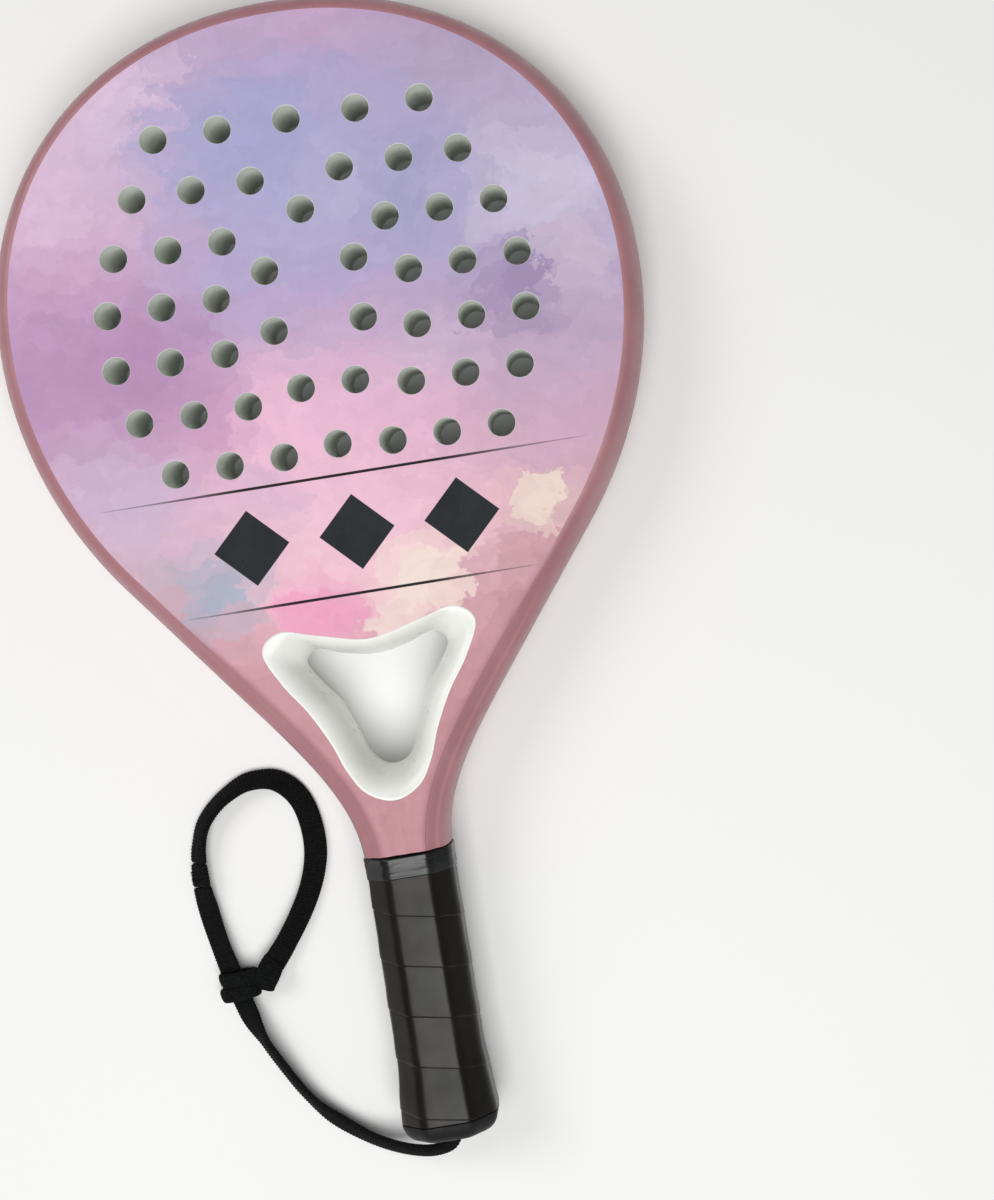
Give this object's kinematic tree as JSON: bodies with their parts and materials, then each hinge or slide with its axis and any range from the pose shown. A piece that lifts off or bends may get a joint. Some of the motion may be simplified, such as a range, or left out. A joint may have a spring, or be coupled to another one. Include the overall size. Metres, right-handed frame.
{
  "type": "padel racket",
  "caption": "Padel racket with a drilled foam head between printed faces, a white throat surround, a wrapped grip and a webbing wrist strap with a sliding knot.",
  "frame": {"origin": "centre of the racket's footprint, on the surface its back face lies on, strap left out", "axes": "+Y along the racket towards the head's crown, +X across the face, +Z out of the printed front face"},
  "size_m": [0.256, 0.4655, 0.038],
  "materials": {
    "frame_lacquer": "dusty rose lacquer over laminate, satin gloss",
    "face_print": "soft cloudy print in pink, lilac and blue under a satin lacquer",
    "eva_foam": "grey-green closed-cell foam, drilled, matt",
    "moulded_filler": "dark moulded filler, matt",
    "insert_white": "glossy white moulding",
    "grip_cushion": "soft black cushion tape",
    "grip_tape": "black wrapped tape with a dull sheen",
    "gloss_tape": "shiny black finishing tape",
    "cap_rubber": "black moulded rubber",
    "webbing": "black ribbed woven webbing"
  },
  "bodies": {
    "racket": {"frame_tube": "frame_lacquer", "eva_core": "eva_foam", "throat_bridge": "moulded_filler", "throat_heel": "moulded_filler", "front_skin": "face_print", "back_skin": "face_print", "throat_insert_front": "insert_white", "throat_insert_back": "insert_white", "handle_pallet_front": "moulded_filler", "handle_pallet_back": "moulded_filler", "handle_filler": "eva_foam", "base_grip": "grip_cushion", "overgrip": "grip_tape", "finishing_tape": "gloss_tape", "butt_cap": "cap_rubber", "strap_anchor": "webbing", "strap_lead": "webbing", "strap_bartack": "webbing", "strap_loop": "webbing"},
    "strap_slider": {"strap_knot": "webbing"}
  },
  "joints": [
    {"name": "knot_slide", "type": "slide", "parent": "racket", "child": "strap_slider", "axis": [0.243, -0.97, 0], "range_m": [0, 0.01]}
  ]
}
